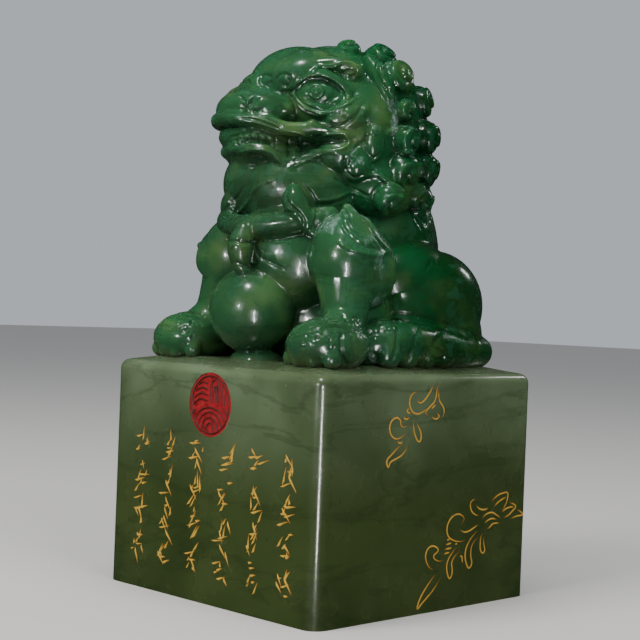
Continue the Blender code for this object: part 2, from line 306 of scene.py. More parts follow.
def makeMarkLine():
    material, tree, shader = newMaterial("Dark cut lines")
    point = objectPoint(tree)
    uneven = noise(tree, point, 1200, 3)
    tone = blendColour(tree, spread(tree, uneven, 0.35, 0.65), colour(*markLook["line"]),
                       colour(*markLook["deepRed"]))
    tree.links.new(tone, shader.inputs["Base Color"])
    shader.inputs["Roughness"].default_value = 0.5
    return material


block = {
    "width": 72.0,
    "height": 55.2,
    "cornerRadius": 3.5,
    "shoulderWidth": 9.0,
    "shoulderDrop": 1.8,
    "topRound": 2.0,
    "footMargin": 4.5,
    "markDiameter": 14.6,
    "markDepth": 0.4,
    "markTopGap": 3.0,
}

lionShape = {
    "spread": 63.0,  # the footprint in the lion's own units
    "headAt": (1.0, -1.0, 61.0),
    "headTurn": -30.0,
    "ballRadius": 10.1,
    "ballLift": 1.4,
    "rootDepth": 1.6,  # mm that the lion runs on into the block
    "grain": 0.33,  # mm, fineness of the carved surface
    "polishPasses": 3,
    "triangles": 176000,
}

sides = (1, -1)


def fullTurn(steps):
    return [step / steps * math.tau for step in range(steps + 1)]


def lionFrame():
    unit = (block["width"] - 2 * block["footMargin"]) / lionShape["spread"] * mm
    return Matrix.Translation((0, 0, block["height"] * mm)) @ Matrix.Scale(unit, 4)


def headFrame():
    turn = Matrix.Rotation(math.radians(lionShape["headTurn"]), 4, "Z")
    return lionFrame() @ Matrix.Translation(lionShape["headAt"]) @ turn


def mirrored(place, side):
    return place @ Matrix.Diagonal((side, 1, 1, 1))


def unitBall(subdivisions):
    ball = bmesh.new()
    bmesh.ops.create_icosphere(ball, subdivisions=subdivisions, radius=1)
    points = np.array([vert.co for vert in ball.verts])
    faces = np.array([[vert.index for vert in face.verts] for face in ball.faces])
    ball.free()
    return points, faces


class Clay:
    # Overlapping balls, gathered into one mesh that is given one skin afterwards

    def __init__(self):
        self.large, self.small = unitBall(4), unitBall(3)
        self.points, self.faces, self.count = [], [], 0

    def add(self, matrix, ball):
        points, faces = ball
        placed = np.array(matrix)
        self.points.append(points @ placed[:3, :3].T + placed[:3, 3])
        outward = faces if matrix.determinant() > 0 else faces[:, ::-1]
        self.faces.append(outward + self.count)
        self.count += len(points)

    def mesh(self, name):
        mesh = bpy.data.meshes.new(name)
        mesh.from_pydata(np.concatenate(self.points).tolist(), [], np.concatenate(self.faces).tolist())
        return mesh


def lump(clay, place, at, radii, turn=(0, 0, 0)):
    # An ellipsoid with its three radii, turned by degrees about x, y and z
    turned = Euler([math.radians(angle) for angle in turn]).to_matrix().to_4x4()
    clay.add(place @ Matrix.Translation(at) @ turned @ Matrix.Diagonal((*radii, 1)), clay.large)


def smoothPath(points, steps):
    # Points on a smooth curve through the given ones; a fourth number, the radius, is blended too
    through = [Vector(point) for point in points]
    ends = [through[0] * 2 - through[1], *through, through[-1] * 2 - through[-2]]
    path = []
    for before, start, end, after in zip(ends, ends[1:], ends[2:], ends[3:]):
        leaving = start + (end - before) / 6
        arriving = end - (after - start) / 6
        for step in range(steps):
            share = step / steps
            rest = 1 - share
            path.append(rest ** 3 * start + 3 * rest ** 2 * share * leaving
                        + 3 * rest * share ** 2 * arriving + share ** 3 * end)
    return path + [through[-1]]


def strand(clay, place, points, steps=10):
    # A round limb or lock of hair through points of x, y, z and radius
    for point in smoothPath(points, steps):
        clay.add(place @ Matrix.Translation(point[:3]) @ Matrix.Scale(point[3], 4), clay.small)


mane = {
    # Each curl's x, y, z and radius in the head's own units; the right side mirrors those beside
    "beside": [(7, 1, 13.2, 3), (7.6, 9.2, 11.4, 4.5), (13.4, 11.8, 6.4, 4.6), (9.4, 19, 1.6, 4.2),
               (17, 13, -1.6, 2.8), (17, 13.8, -8.6, 3.6), (11.4, 20.4, -7.2, 4.2),
               (15.2, 13.8, -16, 4.5), (11, 20.8, -14.8, 3.9), (16.6, 9.8, -23, 3.7),
               (12.6, 17.8, -21.2, 3.2), (8, 19.4, -24, 3.2)],
    "behind": [(0, 13.6, 9.4, 4.2), (0, 20, 2.6, 4.6), (0, 22.8, -5.4, 4.7), (0, 23.6, -13.8, 4.7),
               (0, 22.6, -21.8, 4.5)],
    "start": 250,  # degrees at which a lock begins to wind
    "turns": 1.3,
    "beads": 45,  # balls along one lock
    # As shares of the curl's radius
    "lock": 0.28,  # the lock's thickness
    "outer": 0.74,  # how far out the lock starts
    "windsIn": 0.66,  # how much nearer the middle it ends
    "lift": (0.2, 0.22),  # how high it starts, and how much it gains
    "dome": (0.98, 0.98, 0.86),
    "domeSink": 0.25,
    "footReach": 1.06,  # the groove round the curl
    # In mm
    "grooveWidth": 1.15,
    "grooveDepth": 0.36,
    "footWidth": 1.5,
    "footDepth": 0.22,
}


def curlSeats(head):
    # Each curl's frame, with its own Z pointing out of the head, and its radius
    for side in (1, -1, 0):
        place = mirrored(head, side or 1)
        for x, y, z, radius in mane["beside" if side else "behind"]:
            outward = Vector((x, y - 4, (z + 5) * 0.6)).to_track_quat("Z", "Y").to_matrix().to_4x4()
            yield place @ Matrix.Translation((x, y, z)) @ outward, radius


def windingPoint(radius, share, out=0.0):
    # A point of the wound lock, or beside it by a share of the radius, and its height
    angle = math.radians(mane["start"]) - share * mane["turns"] * math.tau
    reach = radius * (mane["outer"] - mane["windsIn"] * share + out)
    low, gained = mane["lift"]
    return Vector((reach * math.cos(angle), reach * math.sin(angle), radius * (low + gained * share)))


def snailCurl(clay, seat, radius):
    # A tight curl of the mane: a low dome with one lock wound round it to the middle
    lump(clay, seat, (0, 0, -mane["domeSink"] * radius), [part * radius for part in mane["dome"]])
    for bead in range(mane["beads"]):
        at = windingPoint(radius, bead / (mane["beads"] - 1))
        clay.add(seat @ Matrix.Translation(at) @ Matrix.Scale(mane["lock"] * radius, 4), clay.small)


def addBody(clay, lion):
    lump(clay, lion, (1, 9.5, 25.5), (19.5, 19.5, 25))  # back and flanks
    lump(clay, lion, (0, 12, 9), (21, 18.5, 14))  # rump
    lump(clay, lion, (0, -11, 24.5), (16, 15.5, 15.5))  # chest
    lump(clay, lion, (-4, -7, 39.5), (17.5, 17, 13.5))  # neck
    lump(clay, lion, (0, -4, 9), (17, 14, 13))  # belly, closed down to the block


def addForelegs(clay, lion):
    for side in sides:
        leg = mirrored(lion, side)
        lump(clay, leg, (19.2, -13, 24), (8.8, 9, 10.5))  # shoulder
        strand(clay, leg, [(19, -13.4, 22.5, 7.8), (20.8, -14.8, 16, 6.2), (22.4, -16.8, 10.5, 4.9),
                           (23.6, -19.5, 6.5, 5.4)])
        lump(clay, leg, (20, -9.2, 21.6), (7.8, 8.4, 9.6))  # elbow
        lump(clay, leg, (24.4, -9.6, 4.4), (4.3, 4.8, 5))  # tuft behind the wrist
        lump(clay, leg, (16, -6.5, 8), (7.4, 9, 13))  # web that closes the gap behind the leg
        lump(clay, leg, (17.6, -1, 1), (8.8, 10.5, 6))  # foot of the web
        addPaw(clay, leg, (23.4, -22.6, 4.2))


def addPaw(clay, leg, at):
    # A domed forepaw with four low toes under its front
    x, y, z = at
    lump(clay, leg, (x, y, z), (8.8, 9.8, 6.4))
    for out in (-6.2, -2.1, 2.1, 6.2):
        front = y - 8 + 0.36 * abs(out)
        strand(clay, leg, [(x + out * 0.95, front + 2, z - 0.6, 2), (x + out, front + 1, z - 2.8, 2.1)], 6)


def addHaunches(clay, lion):
    for side in sides:
        leg = mirrored(lion, side)
        lump(clay, leg, (19.5, 16.2, 14), (10.6, 14.2, 13.4))  # thigh
        lump(clay, leg, (20.5, 17, 7), (9.8, 12.6, 11))
        lump(clay, leg, (19.4, 8, 11), (8.8, 9.6, 9.4))  # knee
        lump(clay, leg, (16.6, 10.5, 19.6), (9.6, 12.6, 10.4))  # flank running into the thigh
        lump(clay, leg, (21, 10, 6), (8.4, 12, 9))
        strand(clay, leg, [(25.6, 26, 3.4, 4), (27, 17, 3.6, 4.4), (26.4, 6, 4.4, 5), (26, -4, 5, 5.4),
                           (25.6, -8.4, 4.6, 4.6)])
        addHindToes(clay, leg)


def addHindToes(clay, leg):
    # Four toes side by side along the outside of the hind foot, lower towards the heel
    for toe in range(4):
        y = -8.4 + 6.1 * toe
        top = 8 - 0.8 * toe
        strand(clay, leg, [(24.8, y + 0.8, top, 3), (27.4, y + 0.2, top - 1.6, 3.2), (28.4, y, 2.4, 3.1)], 6)


def addBall(clay, lion):
    radius = lionShape["ballRadius"]
    lump(clay, lion, (-1.2, -23.2, radius + lionShape["ballLift"]), (radius, radius, radius))
    lump(clay, lion, (-1, -21.6, 0), (6.4, 6, 2.6))  # fillet that the ball rests in


def addCollar(clay, lion):
    # The band round the neck, the bell on it and the flame-shaped locks beside it
    band = [(-20, -2, 38, 2.6), (-18, -14, 35, 2.8), (-11, -23, 31.8, 2.8), (0, -26, 30.5, 2.9),
            (10, -21.6, 31.8, 2.8), (15, -15, 33.6, 2.2)]
    bell = [(0.6, -28.2, 29.4, 2.4), (0.6, -29.4, 25.4, 2.9), (0.8, -28.8, 21, 1.9)]
    leftLock = [(19.6, -14.4, 35.2, 1.2), (22, -15.2, 32.2, 2.5), (24.6, -12.8, 28.4, 2.4),
                (26.8, -7.6, 25.6, 0.8)]
    rightLock = [(-18.6, -16.6, 31, 1.6), (-22.4, -17.6, 27.4, 3), (-22.4, -19.4, 23, 3),
                 (-21, -20.6, 19.6, 1)]
    for line in (band, bell, leftLock, rightLock):
        strand(clay, lion, line)
    tassel = [(10.2, -22.2, 38.8, 1.9), (10.8, -22.2, 36, 2.9), (12.4, -20.9, 32.4, 2.2),
              (14, -19.8, 29.4, 0.9)]
    for side in sides:
        strand(clay, mirrored(lion, side), tassel)


def addTail(clay, lion):
    # A flame-shaped tail lying up the back
    middle = [(0, 27, 3, 4.4), (0, 29.2, 11, 4), (1, 29.4, 19, 4.4), (0, 28, 28, 3.4), (-1, 26.4, 36, 1.4)]
    outer = [(2, 28.6, 8, 3.2), (6.5, 28.6, 14, 3.2), (7.6, 27.8, 21, 2.2), (5.6, 27.4, 26, 0.9)]
    strand(clay, lion, middle)
    for side in sides:
        strand(clay, mirrored(lion, side), outer)


def addSkull(clay, head):
    lump(clay, head, (0, -1, 1), (16, 16, 13.6))
    lump(clay, head, (0, -9.8, 4.8), (11, 11.6, 9), (12, 0, 0))  # forehead
    lump(clay, head, (0, -17.5, -2.4), (12.2, 11.4, 6.2))  # muzzle
    lump(clay, head, (0, -21.5, -0.4), (6.6, 5.6, 4.2))  # bridge of the nose
    lump(clay, head, (0, -18.4, 3), (6.4, 6, 4.4), (25, 0, 0))  # slope from the nose to the forehead
    lump(clay, head, (0, -17.6, -8.8), (10.8, 10.4, 4.4))  # closed teeth
    lump(clay, head, (0, -15.5, -12.6), (10.6, 11, 4.8))  # lower jaw
    lump(clay, head, (-0.5, -18, -19.6), (9, 8.4, 9))  # beard


def addFace(clay, head):
    upperLip = [(0, -28.6, -5, 1.6), (6.4, -26.6, -5, 1.8), (10.6, -20.5, -5.6, 1.8),
                (12.4, -14.5, -7.4, 1.7), (14.2, -7, -7, 1.6), (15.4, 0, -8, 1.9)]
    lowerLip = [(0, -26, -12.6, 1.5), (6, -24.6, -11.8, 1.5), (9.6, -19.5, -12.2, 1.5), (11, -14, -15, 1.5),
                (13, -7, -13.2, 1.5), (15, -0.4, -10.8, 1.8)]
    brow = [(3.6, -18.6, 2.8, 1.7), (7.6, -14.8, 4.8, 1.9), (11, -10.3, 7, 2), (13.6, -4, 8, 2),
            (14.8, 0.6, 6.8, 1.9)]
    ear = [(12.4, 4.6, 9.6, 1.8), (14.6, 6.4, 6.4, 2.2), (16.2, 8, 2.6, 2), (16.6, 8.6, -1, 1)]
    upperLid = [(11.4, -12.8, 1.4, 0.8), (13.2, -10.8, 4, 1.2), (14.6, -7.2, 5.2, 1.3), (15.2, -3.8, 4, 1.2),
                (15.6, -1.2, 1.4, 0.9)]
    lowerLid = [(11.4, -12.8, 1, 0.8), (13.6, -10.6, -1.8, 1), (15, -6.8, -3, 1.1), (15.6, -3.2, -1.9, 1),
                (15.6, -1.2, 1.2, 0.8)]
    for side in sides:
        half = mirrored(head, side)
        for line in (upperLip, lowerLip, brow, ear, upperLid, lowerLid):
            strand(clay, half, line)
        lump(clay, half, (7, -8.4, 5.6), (7.6, 9.6, 6.6), (8, 0, 0))  # temple above the brow
        lump(clay, half, (5, -21.8, -0.4), (4, 4.6, 3))  # wing of the nostril
        lump(clay, half, (13, 0.5, -3.5), (5.5, 7.5, 5.5))  # cheek
        lump(clay, half, (12, 0, -13), (5.5, 7.5, 5))  # hinge of the jaw
        lump(clay, half, (12, -7.4, 1.1), (3.9, 5.2, 3.5), (0, 0, -25))  # eyeball
        lump(clay, half, (16.4, 5.2, -9.4), (2.8, 2.8, 5))  # lobes behind the cheek
        lump(clay, half, (14.6, 2, -15.4), (3.6, 3.6, 3.8))


def addMane(clay, head):
    # Snail curls from each ear round the back of the head, and a column of them down its middle
    lump(clay, head, (0, 5.4, -5.6), (18, 17.6, 19.4))
    for side in sides:
        lump(clay, mirrored(head, side), (10.6, 9, -18.6), (6.8, 9.6, 8.8))  # nape that the low curls lie on
    for seat, radius in curlSeats(head):
        snailCurl(clay, seat, radius)


def baked(source):
    # A new mesh of the object as its modifiers leave it; the object itself is removed
    bpy.context.view_layer.update()
    depsgraph = bpy.context.evaluated_depsgraph_get()
    mesh = bpy.data.meshes.new_from_object(source.evaluated_get(depsgraph), depsgraph=depsgraph,
                                           preserve_all_data_layers=True)
    bpy.data.objects.remove(source)
    return mesh


def linked(name, mesh):
    made = bpy.data.objects.new(name, mesh)
    bpy.context.scene.collection.objects.link(made)
    return made


def addModifier(owner, kind, name, **values):
    modifier = owner.modifiers.new(name, kind)
    for key, value in values.items():
        setattr(modifier, key, value)
    return modifier


def trimBelow(mesh, height):
    # Cuts away all that lies under the height and closes the cut with a flat face
    solid = bmesh.new()
    solid.from_mesh(mesh)
    cut = bmesh.ops.bisect_plane(solid, geom=solid.verts[:] + solid.edges[:] + solid.faces[:],
                                 plane_co=(0, 0, height), plane_no=(0, 0, 1), clear_inner=True)
    rim = [item for item in cut["geom_cut"] if isinstance(item, bmesh.types.BMEdge)]
    bmesh.ops.triangle_fill(solid, edges=rim, use_beauty=True, normal=(0, 0, -1))
    bmesh.ops.triangulate(solid, faces=solid.faces[:])
    solid.to_mesh(mesh)
    solid.free()


class Skin:
    # The lion's surface while lines are carved into it

    def __init__(self, mesh):
        self.mesh = mesh
        self.points = np.empty(len(mesh.vertices) * 3)
        mesh.vertices.foreach_get("co", self.points)
        self.points = self.points.reshape(-1, 3)
        corners = np.empty(len(mesh.loops), dtype=int)
        mesh.loops.foreach_get("vertex_index", corners)
        self.quads = corners.reshape(-1, 4).tolist()
        self.marks = {"cut": np.zeros(len(self.points)), "frost": np.zeros(len(self.points))}
        self.look()

    def look(self):
        # Takes the normals and the places afresh, after a round of carving
        self.mesh.vertices.foreach_set("co", self.points.ravel())
        self.mesh.update()
        self.normals = np.empty(len(self.points) * 3)
        self.mesh.vertices.foreach_get("normal", self.normals)
        self.normals = self.normals.reshape(-1, 3)
        self.near = KDTree(len(self.points))
        for index, point in enumerate(self.points.tolist()):
            self.near.insert(point, index)
        self.near.balance()
        self.shell = BVHTree.FromPolygons(self.points.tolist(), self.quads)

    def traced(self, pixels, steps=14):
        # A line of the photograph's pixels, laid on the surface as the camera sees it
        eye = Vector(camera["place"]) * mm
        hits = [self.shell.ray_cast(eye, pixelRay(*dot))[0] for dot in smoothPath(pixels, steps)]
        return [hit for hit in hits if hit]

    def flipped(self, line, place):
        # The same line on the other side of a frame's middle
        across = place @ Matrix.Diagonal((-1, 1, 1, 1)) @ place.inverted()
        return [self.shell.find_nearest(across @ point)[0] for point in line]

    def carveBoth(self, line, place, width, depth=0.0, mark="cut"):
        self.carve(line, width, depth, mark)
        self.carve(self.flipped(line, place), width, depth, mark)

    def carve(self, line, width, depth=0.0, mark="cut"):
        # A positive depth cuts in along the line and a negative one raises it
        reach, strongest = width * mm / 2, {}
        for step, point in enumerate(line):
            share = (step + 1) / (len(line) + 1)
            ease = min(1, 0.3 + 6 * share, 0.3 + 6 * (1 - share))
            for _, index, distance in self.near.find_range(point, reach):
                strength = ease * (1 - (distance / reach) ** 2) ** 2
                if strength > strongest.get(index, 0):
                    strongest[index] = strength
        if not strongest:
            return
        touched = np.array(list(strongest))
        strength = np.array(list(strongest.values()))
        self.points[touched] -= self.normals[touched] * (strength * depth * mm)[:, None]
        if depth >= 0:
            self.marks[mark][touched] = np.maximum(self.marks[mark][touched], strength)

    def store(self):
        self.look()
        for name, values in self.marks.items():
            layer = self.mesh.attributes.new(name, "FLOAT", "POINT")
            layer.data.foreach_set("value", values)


# Carved lines of the head: width and depth in mm, then pixels of the photograph along the line
headLines = {
    "brow ridge": (1.7, -0.45, [(310, 73), (314, 71), (319, 67), (327, 67), (334, 66), (341, 63), (350, 63),
        (356, 66), (360, 71)]),
    "brow end": (1.3, 0.5, [(341, 72), (343, 77), (348, 80), (355, 81.5), (361, 79), (365, 74),
        (363, 67)]),
    "brow curl": (1.2, 0.5, [(343, 73), (347, 71), (352, 71), (355, 74), (351, 77)]),
    "bridge curl high": (1.2, 0.45, [(277, 86), (276, 79), (281, 74), (288, 75), (290, 81), (286, 86),
        (281, 83)]),
    "bridge curl low": (1.1, 0.4, [(262, 85), (260, 79), (265, 75), (271, 77), (271, 83), (267, 83)]),
    "bridge curl small": (1.0, 0.35, [(242, 87), (242, 81), (247, 80), (250, 84)]),
    "nose crease": (1.2, 0.5, [(264, 84), (272, 89), (280, 92), (287, 92), (293, 91), (296, 95),
        (299, 99)]),
    "upper lid": (1.7, 0.75, [(296, 90), (301, 84.5), (308, 80.5), (316, 79), (324, 80.5), (332, 84.5),
        (339, 89.5), (344, 95)]),
    "upper lid fold": (1.3, -0.35, [(296, 86), (302, 80), (309, 76), (318, 74.5), (328, 76), (337, 81),
        (344, 88)]),
    "lower lid": (1.8, 0.8, [(296, 92), (299, 98.5), (305, 104.5), (312, 108), (320, 108.5), (329, 106.5),
        (337, 102.5), (344, 97)]),
    "lower lid ridge": (1.5, -0.45, [(295, 100), (299, 106), (304, 110), (311, 113.5), (320, 114),
        (330, 112), (338, 109), (345, 105.5), (351, 102), (356, 97)]),
    "eye corner": (1.1, 0.45, [(344, 98), (348, 100), (352, 97), (354, 93)]),
    "iris": (1.0, 0.32, [(307, 92), (308.5, 86), (313, 82.5), (319, 82.5), (324, 86.5), (325.5, 92.5),
        (322, 98.5), (316, 101), (310, 98.5), (307, 92)]),
    "iris winding": (0.9, 0.3, [(312, 97), (310.5, 91.5), (313, 87), (318, 86.5), (321, 91), (319, 95.5),
        (315, 95), (314.5, 91.5), (316.5, 90)]),
    "nostril front": (1.2, 0.5, [(240, 96), (244, 100), (244, 105), (242, 109)]),
    "nostril": (1.5, 0.8, [(254, 98), (250, 103), (246, 108), (245, 112)]),
    "nostril wing": (1.1, 0.45, [(259, 98), (254, 104), (250, 109), (254, 111), (262, 109)]),
    "lip fold first": (1.1, 0.4, [(222, 112), (235, 113), (250, 113.5), (258, 115), (266, 118), (273, 121),
        (279, 125), (281, 128)]),
    "lip fold second": (1.1, 0.4, [(240, 118), (252, 119.5), (262, 122), (270, 125), (277, 128),
        (280, 130.5)]),
    "lip fold third": (1.1, 0.4, [(222, 126), (232, 125), (245, 124.5), (255, 125), (263, 127), (272, 130),
        (279, 132)]),
    "lip edge": (1.2, -0.4, [(222, 131), (235, 129), (248, 128), (258, 128.5), (266, 131), (275, 134),
        (283, 136.5)]),
    "mouth corner": (1.4, -0.5, [(288, 131), (297, 132), (303, 134), (309, 137), (315, 137), (321, 136),
        (328, 134), (335, 133), (342, 133), (346, 135), (349, 141), (348, 145), (344, 148), (338, 150),
        (330, 150), (320, 150.5), (310, 151), (304, 152)]),
    "mouth slit": (1.6, 0.8, [(304, 143), (312, 144), (322, 143), (332, 141.5), (341, 141)]),
    "teeth upper": (1.1, 0.45, [(230, 138), (237, 135), (245, 132.5), (255, 131.5), (265, 133), (274, 136),
        (284, 141)]),
    "teeth lower": (1.3, 0.6, [(230, 147), (240, 143), (250, 141), (260, 141.5), (268, 144), (276, 149),
        (284, 155)]),
    "lower lip": (1.4, -0.45, [(236, 154), (245, 150.5), (255, 149), (264, 150), (272, 153), (277, 158),
        (281, 163), (285, 165.5)]),
    "lower lip inner": (1.0, 0.35, [(244, 157), (256, 154), (262, 156), (268, 158), (274, 163)]),
    "jaw edge": (1.3, -0.4, [(290, 168), (296, 166), (300, 164), (306, 161), (311, 157.5), (317, 155),
        (325, 153), (333, 152.5), (342, 155)]),
    "fang left": (1.0, 0.4, [(288, 139), (288.5, 150), (288, 156), (291, 160)]),
    "fang": (2.4, -0.7, [(294, 141), (294, 148), (293.5, 155)]),
    "fang right": (1.0, 0.4, [(300, 141), (300.5, 150), (299, 156), (294, 160.5)]),
    "tooth line a": (0.9, 0.35, [(243, 133), (242.5, 137), (243, 142)]),
    "tooth line b": (0.9, 0.35, [(250.5, 132), (250, 137), (251, 141)]),
    "tooth line c": (0.9, 0.35, [(259, 132), (258.5, 137), (259.5, 141.5)]),
    "tooth line d": (0.9, 0.35, [(267, 134), (266.5, 139), (267, 144)]),
    "tooth line e": (0.9, 0.35, [(275, 137), (275, 143), (275.5, 149)]),
    "tooth line f": (0.9, 0.35, [(236, 136), (236, 140), (237, 145)]),
    "chin": (1.1, 0.35, [(232, 155), (236, 162), (245, 168), (256, 170)]),
    "cheek top": (1.2, 0.4, [(318, 122), (328, 127), (340, 126), (350, 121), (358, 113), (363, 104)]),
    "cheek back": (1.2, 0.45, [(366, 116), (368, 128), (364, 140), (356, 147), (351, 152)]),
    "cheek lobe": (1.2, 0.5, [(366, 132), (365, 143), (368, 154), (374, 159), (380, 153)]),
    "jaw lobe": (1.2, 0.45, [(346, 157), (344, 165), (347, 173), (354, 178), (362, 175)]),
    "jaw ring": (0.9, 0.3, [(351, 161), (349, 166), (351, 171)]),
    "ear edge": (1.4, -0.4, [(384, 60), (381, 66), (381, 72), (384, 79), (389, 85), (393, 89)]),
    "ear crease": (1.1, 0.4, [(378, 62), (376, 70), (379, 80), (385, 88), (391, 95)]),
    "under the jaw": (1.1, 0.4, [(335, 179), (345, 184), (355, 190), (368, 196)]),
    "lock to the low curl": (2.2, -0.9, [(366, 176), (372, 174), (379, 175), (386, 181), (393, 185.5),
        (399, 189), (402, 195), (400, 202)]),
    "lock to the middle curl": (2.0, -0.6, [(387, 134), (393, 130), (401, 128), (410, 128), (417, 131)]),
    "outer lock": (1.6, -0.6, [(396, 155), (404, 152), (412, 153.5), (418, 160), (419.5, 169),
        (416, 178)]),
}

# Small rounded swellings of the cheek
swellings = {
    "width": 3.6,  # mm
    "height": 0.55,
    "spots": [(288, 110), (270, 112), (312, 122), (331, 120), (348, 113), (365, 110), (373, 130)],
}

# Places that the wheel has left frosted: width in mm, then pixels along the middle
frosted = {
    "temple": (8.5, [(374, 92), (381, 97), (389, 103)]),
    "lower neck": (5.0, [(352, 200), (362, 203), (373, 207)]),
    "behind the shin": (5.5, [(358, 282), (361, 294), (363, 308)]),
    "under the ear": (4.0, [(396, 122), (401, 119)]),
}

# Carved lines of the chest, which has only one side
chestLines = {
    "bib edge": (1.3, -0.4, [(231, 217), (240, 211), (248, 202), (252, 193), (258, 187), (266, 182),
        (275, 180)]),
    "bib inner": (1.1, 0.35, [(222, 212), (230, 204), (238, 196), (243, 187)]),
    "collar groove": (1.0, 0.35, [(240, 214), (256, 212.5), (270, 212), (285, 212), (296, 213)]),
    "collar edge": (1.3, 0.5, [(226, 240), (245, 242), (262, 241), (280, 239), (298, 236), (306, 233)]),
    "lock front": (1.3, 0.5, [(289, 187), (286, 197), (290, 206), (299, 213), (304, 221), (303, 231)]),
    "lock back": (1.2, 0.45, [(302, 184), (311, 193), (316, 203), (317, 214), (314, 224), (307, 234)]),
    "flap high": (1.1, -0.35, [(318, 200), (328, 200), (339, 197), (350, 192)]),
    "flap low": (1.1, 0.45, [(318, 205), (330, 204.5), (342, 201), (354, 196)]),
    "bell side": (1.0, 0.35, [(252, 242), (256, 249), (260, 257)]),
    "bell foot": (1.1, 0.4, [(236, 262), (243, 266), (251, 266), (258, 262)]),
    "strap": (1.1, 0.4, [(262, 259), (272, 263), (284, 269)]),
}

# Carved lines of the legs and feet, alike on both sides of the body
bodyLines = {
    "leaf lower edge": (1.5, -0.5, [(338, 242), (345, 246), (352, 250), (362, 253), (372, 255), (380, 255),
        (386, 252)]),
    "leaf upper edge": (1.3, 0.45, [(366, 216), (371, 227), (376, 237), (382, 245), (387, 250)]),
    "leaf rib": (1.3, 0.4, [(340, 221), (346, 231), (354, 240), (365, 246), (378, 248.5)]),
    "leaf root": (1.2, 0.4, [(340, 206), (346, 212), (349, 222), (356, 232), (364, 239)]),
    "shin edge": (1.0, 0.3, [(372, 262), (373, 270), (375, 278)]),
    "wrist ring": (1.3, 0.45, [(318, 331), (326, 327), (336, 325), (345, 328), (353, 334)]),
    "tuft front": (1.4, 0.55, [(342, 333), (341, 343), (342, 354), (346, 364)]),
    "tuft fold": (1.1, 0.35, [(352, 336), (354, 346), (353, 358)]),
    "foot ridge": (1.6, -0.45, [(392, 319), (400, 318.5), (415, 322), (430, 326), (445, 330), (460, 335),
        (469, 338)]),
    "thigh edge": (1.2, 0.4, [(388, 318), (400, 314), (420, 317), (445, 324), (468, 331)]),
    "toe groove first": (1.4, 0.6, [(396, 320), (397, 329), (397, 339), (395, 351), (392, 361)]),
    "toe groove second": (1.4, 0.6, [(418, 326), (416, 334), (414, 343), (411, 352), (408, 362)]),
    "toe groove third": (1.4, 0.6, [(440, 332), (436, 341), (431, 349), (427, 357), (423, 366)]),
    "toe hook": (1.0, 0.35, [(432, 347), (438, 350), (444, 354), (443, 359), (437, 358.5), (431, 357)]),
    "heel line": (1.1, 0.35, [(474, 334), (478, 343), (477, 353), (470, 361)]),
    "thigh mark": (0.9, 0.3, [(432, 260), (429, 265), (426, 270)]),
}

furWork = {
    "paws": ((23.4, -22.6, 4.2), (24.4, -9.6, 4.4)),  # centres in lion units
    "reach": (12, 8),
    "curls": (110, 30),
    "curlRadius": 0.8,
    "curlPoints": 14,
    "curlSweep": 3.6,  # radians
    "width": 0.8,
    "depth": 0.22,
    "seed": 11,
}


def addFur(skin, lion):
    # Small comma-shaped cuts over the domes of the paws
    chance = random.Random(furWork["seed"])
    for side in sides:
        leg = mirrored(lion, side)
        for centre, reach, count in zip(furWork["paws"], furWork["reach"], furWork["curls"]):
            middle = leg @ Vector(centre)
            for _ in range(count):
                outward = Vector((chance.uniform(-1, 1), chance.uniform(-1, 0.7), chance.uniform(0, 0.9)))
                outward = (leg.to_3x3() @ outward).normalized()
                spot, facing = skin.shell.ray_cast(middle + outward * reach * 1.6 * mm, -outward)[:2]
                if not spot or (spot - middle).length > reach * mm:
                    continue
                first = facing.orthogonal().normalized()
                second = facing.cross(first)
                start, size = chance.uniform(0, math.tau), furWork["curlRadius"] * chance.uniform(0.7, 1.2)
                comma, last = [], furWork["curlPoints"] - 1
                for step in range(furWork["curlPoints"]):
                    angle = start + step / last * furWork["curlSweep"]
                    wide = size * mm * (1 - 0.5 * step / last)
                    comma.append(spot + first * wide * math.cos(angle) + second * wide * math.sin(angle))
                skin.carve(comma, furWork["width"], furWork["depth"])


toolMarks = {
    "leg": ((351, 279), (372, 312), 2.3, 9, 22),  # first and last pixel, spacing, shortest and longest
    "neck": ((353, 198), (372, 209), 1.9, 7, 16),
    "width": 0.75,
    "depth": 0.12,
    "seed": 4,
}


def addToolMarks(skin, lion):
    # Short level scratches that the wheel has left beside the deeper cuts
    chance = random.Random(toolMarks["seed"])
    for key in ("leg", "neck"):
        (left, top), (right, bottom), spacing, shortest, longest = toolMarks[key]
        for row in range(int((bottom - top) / spacing)):
            y = top + row * spacing
            x = left + chance.uniform(0, 5)
            far = min(x + chance.uniform(shortest, longest), right + 6)
            line = skin.traced([(x, y), ((x + far) / 2, y + chance.uniform(-0.6, 0.6)), (far, y)], 20)
            skin.carveBoth(line, lion, toolMarks["width"], toolMarks["depth"])


def carveCurls(skin, head):
    # The groove that follows each curl's winding lock, and the one round its foot
    for seat, radius in curlSeats(head):
        inward = -(seat.to_3x3() @ Vector((0, 0, 1))).normalized()
        winding = [windingPoint(radius, 0.2 + 0.8 * step / 48, mane["lock"] * 0.94) for step in range(49)]
        foot = [Vector((math.cos(turn), math.sin(turn), 0)) * radius * mane["footReach"]
                for turn in fullTurn(36)]
        for line, width, depth in ((winding, mane["grooveWidth"], mane["grooveDepth"]),
                                   (foot, mane["footWidth"], mane["footDepth"])):
            hits = [skin.shell.ray_cast(seat @ Vector((x, y, 1.1 * radius)), inward, 1.9 * radius * mm)[0]
                    for x, y, _ in line]
            skin.carve([hit for hit in hits if hit], width, depth)


